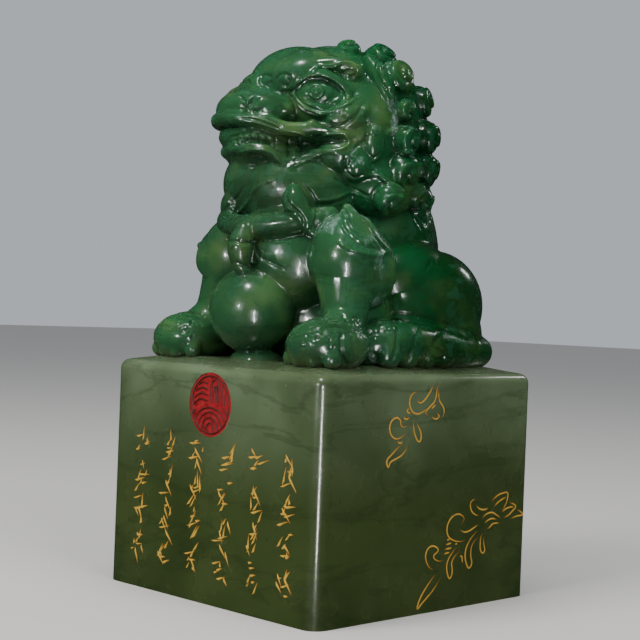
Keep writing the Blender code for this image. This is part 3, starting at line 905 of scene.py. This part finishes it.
def carveLines(skin, lion, head):
    carveCurls(skin, head)
    for dot in swellings["spots"]:
        for spot in skin.traced([dot, (dot[0] + 0.1, dot[1])], 1)[:1]:
            skin.carveBoth([spot], head, swellings["width"], -swellings["height"])
    for width, pixels in frosted.values():
        skin.carveBoth(skin.traced(pixels), head, width, mark="frost")
    for width, depth, pixels in headLines.values():
        skin.carveBoth(skin.traced(pixels), head, width, depth)
    for width, depth, pixels in chestLines.values():
        skin.carve(skin.traced(pixels), width, depth)
    for width, depth, pixels in bodyLines.values():
        skin.carveBoth(skin.traced(pixels), lion, width, depth)
    addFur(skin, lion)
    addToolMarks(skin, lion)


def makeLion():
    # All the lion's masses worked into one skin, then its finer carving
    clay, lion, head = Clay(), lionFrame(), headFrame()
    for add in (addBody, addForelegs, addHaunches, addBall, addCollar, addTail):
        add(clay, lion)
    for add in (addSkull, addFace, addMane):
        add(clay, head)
    rough = linked("roughLion", clay.mesh("roughLion"))
    addModifier(rough, "REMESH", "One skin", mode="VOXEL", voxel_size=lionShape["grain"] * mm)
    addModifier(rough, "SMOOTH", "Polish", factor=0.5, iterations=lionShape["polishPasses"])
    mesh = baked(rough)
    print("Lion's masses joined:", len(mesh.vertices), "points")
    skin = Skin(mesh)
    carveLines(skin, lion, head)
    skin.store()
    print("Lines carved")
    trimBelow(mesh, (block["height"] - lionShape["rootDepth"]) * mm)
    carved = linked("carvedLion", mesh)
    addModifier(carved, "DECIMATE", "Fewer triangles", ratio=lionShape["triangles"] / len(mesh.polygons))
    return carved


def discMesh(name, place, radius, thick):
    mesh = bpy.data.meshes.new(name)
    disc = bmesh.new()
    bmesh.ops.create_cone(disc, cap_ends=True, segments=96, radius1=radius, radius2=radius, depth=thick,
                          matrix=place)
    disc.to_mesh(mesh)
    disc.free()
    return mesh


def makeMarkCutter():
    radius, deep = block["markDiameter"] / 2 * mm, 2 * block["markDepth"] * mm
    return linked("markCutter", discMesh("markCutter", markPlace(), radius, deep))


def markPlace():
    # The round mark's middle on the face, with the mark's own Z pointing out of the stone
    height = block["height"] - block["markTopGap"] - block["markDiameter"] / 2
    return (Matrix.Translation((0, -block["width"] / 2 * mm, height * mm))
            @ Matrix.Rotation(math.radians(90), 4, "X"))


def makeBlock():
    mesh = bpy.data.meshes.new("stoneSeal")
    solid = bmesh.new()
    width, sideHeight = block["width"] * mm, (block["height"] - block["shoulderDrop"]) * mm
    size = Matrix.Diagonal((width, width, sideHeight, 1))
    bmesh.ops.create_cube(solid, size=1, matrix=Matrix.Translation((0, 0, sideHeight / 2)) @ size)
    upright = [edge for edge in solid.edges if edge.verts[0].co.z != edge.verts[1].co.z]
    bmesh.ops.bevel(solid, geom=upright, offset=block["cornerRadius"] * mm, segments=10, profile=0.5,
                    affect="EDGES")
    top = max(solid.faces, key=lambda face: face.calc_center_median().z)
    rim = list(top.edges)
    bmesh.ops.inset_region(solid, faces=[top], thickness=0)
    narrower = 1 - 2 * block["shoulderWidth"] / block["width"]
    bmesh.ops.scale(solid, verts=top.verts, vec=(narrower, narrower, block["height"] * mm / sideHeight))
    bmesh.ops.bevel(solid, geom=rim, offset=block["topRound"] * mm, segments=8, profile=0.5, affect="EDGES")
    solid.to_mesh(mesh)
    solid.free()
    return linked("stoneSeal", mesh)


def makeSeal(jade):
    rough = makeBlock()
    lion, cutter = makeLion(), makeMarkCutter()
    addModifier(rough, "BOOLEAN", "Lion on top", operation="UNION", solver="EXACT", object=lion)
    addModifier(rough, "BOOLEAN", "Sunk mark", operation="DIFFERENCE", solver="EXACT", object=cutter)
    mesh = baked(rough)
    for tool in (lion, cutter):
        bpy.data.objects.remove(tool)
    mesh.materials.clear()
    mesh.materials.append(jade)
    mesh.polygons.foreach_set("material_index", [0] * len(mesh.polygons))
    mesh.shade_smooth()
    mesh.set_sharp_from_angle(angle=math.radians(55))
    seal = linked("stoneSeal", mesh)
    print("Seal joined:", sum(len(face.vertices) - 2 for face in mesh.polygons), "triangles")
    return seal


def newTree(name, inputs):
    tree = bpy.data.node_groups.new(name, "GeometryNodeTree")
    tree.interface.new_socket("Geometry", in_out="INPUT", socket_type="NodeSocketGeometry")
    for label, kind in inputs.items():
        tree.interface.new_socket(label, in_out="INPUT", socket_type="NodeSocket" + kind)
    tree.interface.new_socket("Geometry", in_out="OUTPUT", socket_type="NodeSocketGeometry")
    return tree, addNode(tree, "NodeGroupInput").outputs


def finishTree(tree, entry, mesh):
    whole = addNode(tree, "GeometryNodeRealizeInstances", {"Geometry": mesh}).outputs[0]
    smooth = addNode(tree, "GeometryNodeSetShadeSmooth", {"Geometry": whole}).outputs[0]
    dressed = addNode(tree, "GeometryNodeSetMaterial", {"Geometry": smooth, "Material": entry["Finish"]})
    addNode(tree, "NodeGroupOutput", {"Geometry": dressed.outputs[0]})


def grown(name, source, tree, values):
    # The plain mesh that the tree makes from a source mesh, as a piece of its own
    holder = linked("source", source)
    modifier = addModifier(holder, "NODES", "Work", node_group=tree)
    for item in tree.interface.items_tree:
        if item.item_type == "SOCKET" and item.in_out == "INPUT" and item.name in values:
            modifier[item.identifier] = values[item.name]
    return linked(name, baked(holder))


def sweptLineTree():
    # Lays a thin round line along every chain of edges, finer towards its ends
    tree, entry = newTree("Swept line", {"Line width": "Float", "Spacing": "Float", "Taper": "Float",
                                         "Finish": "Material"})
    curve = addNode(tree, "GeometryNodeMeshToCurve", {"Mesh": entry["Geometry"]}).outputs[0]
    curve = addNode(tree, "GeometryNodeCurveSplineType", {"Curve": curve},
                    spline_type="CATMULL_ROM").outputs[0]
    curve = addNode(tree, "GeometryNodeResampleCurve", {"Curve": curve, "Length": entry["Spacing"]},
                    mode="LENGTH").outputs[0]
    share = addNode(tree, "GeometryNodeSplineParameter").outputs["Factor"]
    fromMiddle = calc(tree, "ABSOLUTE", calc(tree, "SUBTRACT", calc(tree, "MULTIPLY", share, 2.0), 1.0))
    loss = calc(tree, "MULTIPLY", calc(tree, "POWER", fromMiddle, 3.0), entry["Taper"])
    size = calc(tree, "SUBTRACT", 1.0, loss)
    round_ = addNode(tree, "GeometryNodeCurvePrimitiveCircle", {
        "Resolution": 8, "Radius": calc(tree, "MULTIPLY", entry["Line width"], 0.5)}).outputs[0]
    swept = addNode(tree, "GeometryNodeCurveToMesh", {
        "Curve": curve, "Profile Curve": round_, "Scale": size, "Fill Caps": True}).outputs[0]
    finishTree(tree, entry, swept)
    return tree


def chainMesh(name, chains):
    # A mesh of bare edges, one chain for each line
    mesh = bpy.data.meshes.new(name)
    points, edges = [], []
    for chain in chains:
        start = len(points)
        points += [tuple(point) for point in chain]
        edges += [(start + step, start + step + 1) for step in range(len(chain) - 1)]
    mesh.from_pydata(points, edges, [])
    return mesh


inscription = {
    "columns": 6,
    "rows": 4,
    "columnPitch": 10.2,
    "rowPitch": 8.0,
    "middle": (1.3, 21.4),  # across and up, on the face
    "lean": -2.0,  # degrees
    "markSize": 5.9,
    "strokeWidth": 0.56,
    "strokes": 9,
    "seed": 23,
}


def markRowsTree():
    # Rows of small clusters of strokes that aren't letters
    tree, entry = newTree("Rows of marks", {
        "Columns": "Int", "Rows": "Int", "Column pitch": "Float", "Row pitch": "Float",
        "Mark size": "Float", "Stroke width": "Float", "Rise": "Float", "Strokes": "Int", "Seed": "Int",
        "Finish": "Material"})
    size = entry["Mark size"]
    wide = calc(tree, "MULTIPLY", entry["Column pitch"], calc(tree, "SUBTRACT", entry["Columns"], 1.0))
    tall = calc(tree, "MULTIPLY", entry["Row pitch"], calc(tree, "SUBTRACT", entry["Rows"], 1.0))
    grid = addNode(tree, "GeometryNodeMeshGrid", {
        "Size X": wide, "Size Y": tall, "Vertices X": entry["Columns"], "Vertices Y": entry["Rows"]})
    copies = addNode(tree, "GeometryNodeDuplicateElements", {
        "Geometry": grid.outputs["Mesh"], "Amount": entry["Strokes"]}, domain="POINT")
    turn = copies.outputs["Duplicate Index"]
    index = addNode(tree, "GeometryNodeInputIndex").outputs[0]

    def draw(low, high, salt):
        seed = calc(tree, "ADD", entry["Seed"], float(salt))
        drawn = addNode(tree, "FunctionNodeRandomValue", {"Min": low, "Max": high, "ID": index, "Seed": seed})
        return socket(drawn.outputs, "Value")

    def pick(test, no, yes):
        return addNode(tree, "GeometryNodeSwitch", {"Switch": test, "False": no, "True": yes},
                       input_type="FLOAT").outputs[0]

    # Strokes run down the mark in turn: rising, falling to the left, falling to the right or upright
    step = calc(tree, "DIVIDE", turn, calc(tree, "SUBTRACT", entry["Strokes"], 1.0))
    up = calc(tree, "ADD", calc(tree, "SUBTRACT", 0.46, calc(tree, "MULTIPLY", step, 0.92)),
              draw(-0.1, 0.1, 1))
    across = draw(-0.3, 0.3, 2)
    kind = draw(0.0, 1.0, 3)
    angle = pick(calc(tree, "GREATER_THAN", kind, 0.4), draw(0.1, 0.42, 4), draw(0.85, 1.2, 5))
    angle = pick(calc(tree, "GREATER_THAN", kind, 0.66), angle, draw(-1.2, -0.7, 6))
    angle = pick(calc(tree, "GREATER_THAN", kind, 0.86), angle, draw(1.35, 1.75, 7))
    length = draw(0.16, 0.62, 8)
    offset = addNode(tree, "ShaderNodeCombineXYZ", {
        "X": calc(tree, "MULTIPLY", across, size), "Y": calc(tree, "MULTIPLY", up, size)}).outputs[0]
    placed = addNode(tree, "GeometryNodeSetPosition", {
        "Geometry": copies.outputs["Geometry"], "Offset": offset}).outputs[0]

    bar = addNode(tree, "GeometryNodeCurveQuadraticBezier", {
        "Resolution": 9, "Start": (-0.5, 0, 0), "Middle": (0.1, 0.26, 0), "End": (0.5, 0, 0)}).outputs[0]
    share = addNode(tree, "GeometryNodeSplineParameter").outputs["Factor"]
    fade = calc(tree, "SUBTRACT", 1.0, calc(tree, "MULTIPLY", calc(tree, "POWER", share, 1.5), 0.72))
    ring = addNode(tree, "GeometryNodeCurvePrimitiveCircle", {"Resolution": 8, "Radius": 0.5}).outputs[0]
    stroke = addNode(tree, "GeometryNodeCurveToMesh", {
        "Curve": bar, "Profile Curve": ring, "Scale": fade, "Fill Caps": True}).outputs[0]
    turned = addNode(tree, "ShaderNodeCombineXYZ", {"Z": angle}).outputs[0]
    scale = addNode(tree, "ShaderNodeCombineXYZ", {
        "X": calc(tree, "MULTIPLY", length, size),
        "Y": calc(tree, "MULTIPLY", entry["Stroke width"], draw(0.8, 1.25, 9)),
        "Z": calc(tree, "MULTIPLY", entry["Rise"], 2.0)}).outputs[0]
    shown = calc(tree, "LESS_THAN", draw(0.0, 1.0, 10), 0.9)
    marks = addNode(tree, "GeometryNodeInstanceOnPoints", {
        "Points": placed, "Selection": shown, "Instance": stroke,
        "Rotation": addNode(tree, "FunctionNodeEulerToRotation", {"Euler": turned}).outputs[0],
        "Scale": scale}).outputs[0]
    finishTree(tree, entry, marks)
    return tree


def makeInscription(gilt):
    empty = bpy.data.meshes.new("inscriptionSource")
    piece = grown("giltInscription", empty, markRowsTree(), {
        "Columns": inscription["columns"], "Rows": inscription["rows"],
        "Column pitch": inscription["columnPitch"] * mm, "Row pitch": inscription["rowPitch"] * mm,
        "Mark size": inscription["markSize"] * mm, "Stroke width": inscription["strokeWidth"] * mm,
        "Rise": giltLook["rise"] * mm, "Strokes": inscription["strokes"], "Seed": inscription["seed"],
        "Finish": gilt})
    across, up = inscription["middle"]
    face = Matrix.Translation((across * mm, -block["width"] / 2 * mm, up * mm))
    leaning = Matrix.Rotation(math.radians(inscription["lean"]), 4, "Z")
    piece.data.transform(face @ Matrix.Rotation(math.radians(90), 4, "X") @ leaning)
    print("Inscription made:", len(piece.data.polygons), "faces")
    return piece


roundMark = {
    "inset": 0.15,  # mm from the face down to the red
    "clearance": 0.05,
    "lineWidth": 0.42,
    "lineStep": 0.25,
    "taper": 0.4,
    "ringRadius": 6.5,
    # Lines in mm from the mark's middle: ripples, hanging loops and nested arches, as plain ornament
    "lines": [
        [(-4.2, 4.2), (-3.0, 5.0), (-1.2, 4.7)],
        [(-5.2, 2.7), (-3.4, 3.7), (-1.0, 3.4)],
        [(-5.7, 1.2), (-3.6, 2.4), (-0.9, 2.1)],
        [(-5.9, -0.3), (-3.7, 1.1), (-0.9, 0.8)],
        [(0.2, 0.5), (0.1, 3.6), (0.6, 5.2), (1.6, 5.7), (2.5, 5.0), (2.9, 3.4), (2.9, 0.5)],
        [(1.1, 0.7), (1.1, 3.3), (1.6, 4.3), (2.0, 3.3), (2.0, 0.7)],
        [(3.8, 0.3), (3.9, 3.0), (4.0, 4.4)],
        [(4.9, 0.1), (5.1, 1.9), (5.0, 3.1)],
        [(-4.9, -3.6), (-3.6, -1.6), (0, -0.6), (3.6, -1.6), (4.9, -3.6)],
        [(-3.9, -4.8), (-2.8, -2.7), (0, -1.7), (2.8, -2.7), (3.9, -4.8)],
        [(-2.7, -5.6), (-1.9, -3.7), (0, -2.9), (1.9, -3.7), (2.7, -5.6)],
        [(-1.2, -6.1), (-0.9, -4.7), (0, -4.1), (0.9, -4.7), (1.2, -6.1)],
        [(-5.9, -2.3), (-5.2, -1.3)],
        [(5.9, -2.3), (5.2, -1.2), (4.2, -0.5)],
    ],
}


def makeRoundMark(red, dark, lineTree):
    place = markPlace()
    radius = (block["markDiameter"] / 2 - roundMark["clearance"]) * mm
    thick = (block["markDepth"] - roundMark["inset"]) * mm
    centre = Matrix.Translation((0, 0, -block["markDepth"] * mm + thick / 2))
    mesh = discMesh("redMark", place @ centre, radius, thick)
    mesh.materials.append(red)
    mesh.shade_smooth()
    mesh.set_sharp_from_angle(angle=math.radians(40))
    paste = linked("redMark", mesh)
    ring = [(roundMark["ringRadius"] * math.cos(turn), roundMark["ringRadius"] * math.sin(turn))
            for turn in fullTurn(48)]
    chains = [[place @ (Vector((x, y, -roundMark["inset"])) * mm) for x, y in line]
              for line in [ring, *roundMark["lines"]]]
    lines = grown("markLines", chainMesh("markLinesSource", chains), lineTree, {
        "Line width": roundMark["lineWidth"] * mm, "Spacing": roundMark["lineStep"] * mm,
        "Taper": roundMark["taper"], "Finish": dark})
    print("Round mark made")
    return paste, lines


# Scrolls and leaves of the two sprigs, in pixels of the photograph along each line
sprigs = {
    "lineWidth": 0.62,
    "lineStep": 0.3,
    "taper": 0.55,
    "sink": 0.2,  # mm from the face down to the line's middle
    "upper": [
        [(434, 382), (431, 389), (427, 396), (423, 401), (419.5, 403), (417, 401), (418, 398), (420, 396.5)],
        [(420, 396), (418.5, 393), (415, 392), (411, 395), (409, 401), (409.5, 407), (412, 412), (416, 414),
         (421, 412.5), (427, 408), (431, 403)],
        [(440, 382), (436.5, 389), (435.5, 396), (433.5, 402), (429, 407), (425, 412), (427, 415.5),
         (430.5, 415)],
        [(438.5, 386), (438, 394), (439, 401), (442, 406), (443.5, 411), (442, 416.5), (439, 414)],
        [(430.5, 415), (432.5, 418), (435.5, 419), (438.5, 416), (435, 412)],
        [(430, 410), (433, 406.5), (436, 404)],
        [(411, 418), (408.5, 424), (403, 427), (400, 424.5), (400, 421), (397, 418), (393, 419), (390, 423),
         (389, 429), (390.5, 435), (394, 438.5), (398, 438.5), (404, 434.5), (410, 428.5)],
        [(398, 439.5), (397.5, 442.5), (400.5, 443), (402, 440)],
        [(405, 437.5), (402, 443.5), (396, 449), (391, 454.5), (387, 459), (386, 463), (387.5, 467.5),
         (390, 462), (395, 459), (400.5, 455.5), (405, 450), (407.5, 443.5), (409, 436)],
        [(415.5, 415), (413, 421), (413, 428), (414.5, 435.5), (417, 441), (419.5, 441), (420.5, 436.5),
         (419.5, 430.5), (417, 425), (417, 419.5), (419.5, 416.5)],
        [(409, 407.5), (406.5, 410.5), (408, 413), (411, 412)],
        [(404, 415), (403.5, 418.5), (407, 419), (409, 416)],
    ],
    "lower": [
        [(440.5, 569.5), (433, 576.5), (427, 585), (421.5, 594), (418, 602), (416.5, 609), (421, 603.5),
         (427, 596.5), (432, 590.5), (437, 582.5), (441, 575.5), (442.5, 571.5)],
        [(447.5, 557), (443, 560), (438, 561), (434, 559), (433, 555.5), (436, 552.5), (437.5, 550),
         (435.5, 547), (431, 546), (427, 549), (425, 555), (425.5, 561), (428, 566.5), (432, 569.5),
         (438, 569)],
        [(460.5, 545), (455, 548.5), (451, 553.5), (447.5, 559.5), (446, 566), (446.5, 573), (448.5, 578.5),
         (451, 575), (451.5, 569), (451, 563), (453.5, 557), (458, 552), (463, 547.5)],
        [(479.5, 523.5), (474, 527), (469, 530.5), (464, 532), (460, 530), (458.5, 527)],
        [(456.5, 522.5), (459.5, 525), (462, 522), (463.5, 519), (462, 516), (458, 514), (453, 515.5),
         (449, 520), (446.5, 526.5), (446.5, 533), (449, 538), (455, 541), (462, 541), (469, 537)],
        [(482, 527), (474.5, 533), (468.5, 541), (465, 550), (464.5, 558.5), (466.5, 566), (468.5, 568),
         (471, 563), (470, 555), (471, 546), (475.5, 539), (482, 534.5)],
        [(484.5, 531), (480.5, 536), (479.5, 543), (479.5, 549), (481.5, 553), (484, 550), (483, 543),
         (483.5, 537), (486, 534)],
        [(476.5, 501), (473, 499.5), (470, 503), (470.5, 510), (474.5, 514.5), (480, 515.5)],
        [(475, 503.5), (478.5, 508.5), (484, 509.5), (489, 507)],
        [(489.5, 506.5), (491.5, 501), (495.5, 496.5), (500.5, 493.5), (506.5, 492.5), (507, 497),
         (505.5, 503), (502.5, 508.5), (498, 512.5)],
        [(492.5, 508), (497, 502.5), (502.5, 498.5), (507, 496)],
        [(500, 513.5), (504.5, 509), (509.5, 507), (514.5, 507)],
        [(507, 502.5), (512, 503.5), (515, 506.5), (511.5, 511), (507, 515.5), (501, 518.5)],
        [(514.5, 508.5), (519, 511), (522, 514.5), (516, 516), (511, 518), (508, 520)],
        [(481.5, 522), (482.5, 517), (486.5, 513.5), (491.5, 512.5), (496, 515), (501.5, 519)],
        [(483, 525), (486, 521), (491, 518.5), (497, 519.5)],
        [(485, 530), (489, 527), (492.5, 523.5), (500, 523)],
        [(445.5, 540.5), (449.5, 538.5)],
        [(444.5, 545), (451.5, 542.5)],
        [(443.5, 549.5), (452, 547.5)],
        [(442.5, 554), (449.5, 552)],
        [(454, 545), (457, 542.5)],
        [(458, 557), (461, 556), (461.5, 561), (463, 563.5)],
    ],
}


def makeSprigs(gilt, lineTree):
    eye, face = Vector(camera["place"]) * mm, (block["width"] / 2 - sprigs["sink"]) * mm
    made = []
    for name in ("upper", "lower"):
        chains = []
        for line in sprigs[name]:
            rays = [pixelRay(*dot) for dot in line]
            chains.append([eye + ray * ((face - eye.x) / ray.x) for ray in rays])
        made.append(grown(name + "Sprig", chainMesh(name + "SprigSource", chains), lineTree, {
            "Line width": sprigs["lineWidth"] * mm, "Spacing": sprigs["lineStep"] * mm,
            "Taper": sprigs["taper"], "Finish": gilt}))
    print("Sprigs made")
    return made


studio = {
    "floorColour": (206, 203, 197),
    "floorBounce": (150, 150, 138),  # how the floor lights the stone
    "floorMirrored": (44, 46, 42),  # how the polish shows it, darker so that it doesn't wash out the stone
    "skyColour": (226, 232, 240),
    "backdrop": 0.62,  # how bright the studio is behind the seal
    "fill": 0.62,  # how much soft light it gives
    "reflected": 0.03,  # how bright it is in the polish, as in a darkened room
    # Each lamp's azimuth, height and distance in metres, width, height, power in watts, and whether
    # it only shows in the polish
    "lamps": {
        "Soft key": (-6, 0.5, 0.5, 0.3, 0.3, 3.6, False),
        "Side fill": (84, 0.45, 0.55, 0.35, 0.35, 1.9, False),
        "Top": (0, 0.8, 0.1, 0.5, 0.5, 2.2, False),
        "Left strip": (11.5, 0.11, 0.34, 0.02, 0.035, 0.3, True),
        "Front strip": (45.5, 0.03, 0.14, 0.004, 0.058, 0.08, True),
        "High window": (20, 0.62, 0.3, 0.08, 0.08, 1.3, True),
        "Rim": (172, 0.34, 0.5, 0.05, 0.1, 0.16, True),
    },
}


def makeStudio():
    world = bpy.data.worlds.new("Studio")
    bpy.context.scene.world = world
    world.use_nodes = True
    tree = world.node_tree
    sky = tree.nodes["Background"]
    sky.inputs["Color"].default_value = colour(*studio["skyColour"])
    path = addNode(tree, "ShaderNodeLightPath").outputs
    soft = addNode(tree, "ShaderNodeMix", {
        "Factor": path["Is Glossy Ray"], "A": studio["fill"], "B": studio["reflected"]}).outputs["Result"]
    seen = addNode(tree, "ShaderNodeMix", {
        "Factor": path["Is Camera Ray"], "A": soft, "B": studio["backdrop"]}).outputs["Result"]
    tree.links.new(seen, sky.inputs["Strength"])
    mesh = bpy.data.meshes.new("floor")
    mesh.from_pydata([(-3, -3, 0), (3, -3, 0), (3, 3, 0), (-3, 3, 0)], [], [(0, 1, 2, 3)])
    material, tree, shader = newMaterial("Pale floor")
    path = addNode(tree, "ShaderNodeLightPath").outputs
    soft = blendColour(tree, path["Is Glossy Ray"], colour(*studio["floorBounce"]),
                       colour(*studio["floorMirrored"]))
    tone = blendColour(tree, path["Is Camera Ray"], soft, colour(*studio["floorColour"]))
    tree.links.new(tone, shader.inputs["Base Color"])
    shader.inputs["Roughness"].default_value = 0.7
    mesh.materials.append(material)
    floor = linked("floor", mesh)
    target = Vector((0, 0, 70 * mm))
    for name, (azimuth, height, distance, wide, tall, power, mirroredIn) in studio["lamps"].items():
        light = bpy.data.lights.new(name, "AREA")
        light.shape = "RECTANGLE"
        light.size, light.size_y, light.energy = wide, tall, power
        lamp = bpy.data.objects.new(name, light)
        turn = math.radians(azimuth)
        lamp.location = (distance * math.sin(turn), -distance * math.cos(turn), height)
        lamp.rotation_euler = (target - lamp.location).to_track_quat("-Z", "Y").to_euler()
        lamp.visible_camera = False
        lamp.visible_glossy = mirroredIn
        lamp.visible_diffuse = not mirroredIn
        bpy.context.scene.collection.objects.link(lamp)
    print("Studio lit")


def main():
    makeStudio()
    gilt, lineTree = makeGilt(), sweptLineTree()
    seal = makeSeal(makeJade())
    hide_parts("lion_seal")
    pieces = [seal, makeInscription(gilt), *makeRoundMark(makeCinnabar(), makeMarkLine(), lineTree),
              *makeSprigs(gilt, lineTree)]
    for piece in pieces:
        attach(piece, "root")


main()
